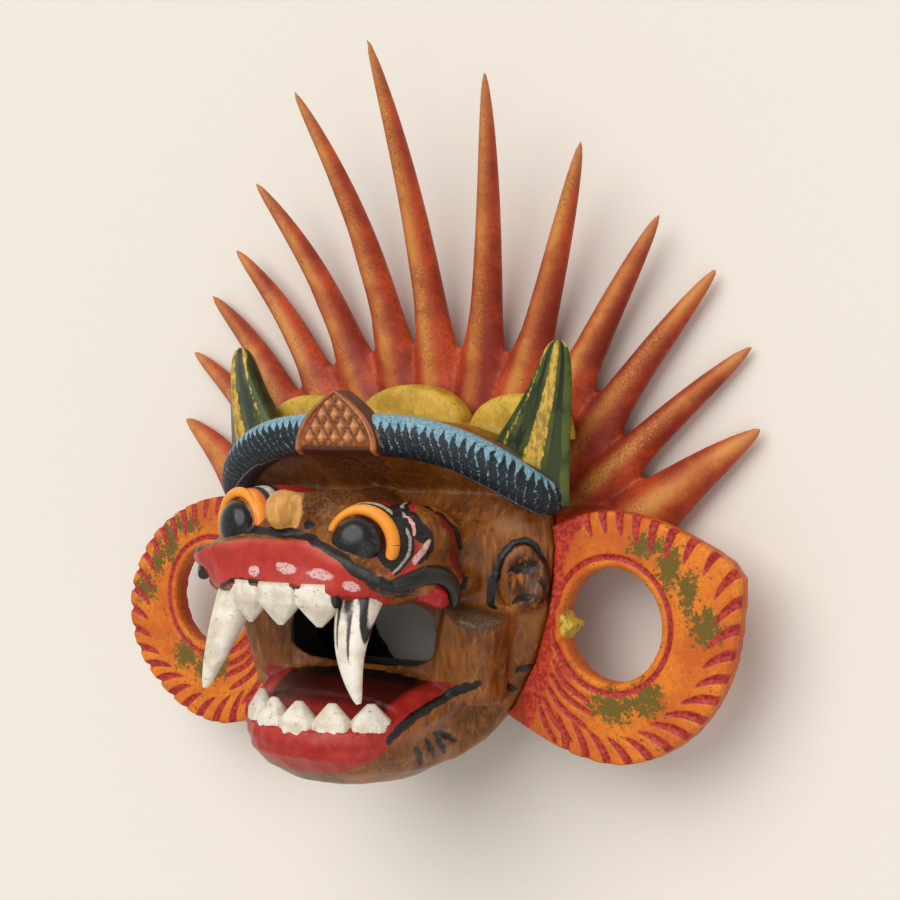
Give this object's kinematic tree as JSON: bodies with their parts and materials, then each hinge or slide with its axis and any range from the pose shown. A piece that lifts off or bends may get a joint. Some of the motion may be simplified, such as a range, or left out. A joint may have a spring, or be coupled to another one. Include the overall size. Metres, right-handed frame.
{
  "type": "carved barong mask",
  "caption": "Carved and painted wooden demon mask: gaping jaws with fangs, bulging eyes, brim roll, leaf horns, ring ears and a fan of curved spikes.",
  "frame": {"origin": "on the surface that the mask lies on, under the middle of its box", "axes": "+X to the viewer's right across the ears, +Y towards the crown's middle spike, +Z out of the face, away from the surface"},
  "size_m": [0.394, 0.3738, 0.142],
  "materials": {
    "painted_head": "varnished brown wood with red, black, white, blue and green paint",
    "painted_crown": "rust-red and orange paint, dry-brushed with gold, worn olive in places"
  },
  "bodies": {
    "root": {"head": "painted_head", "crown_board": "painted_crown"}
  },
  "joints": []
}
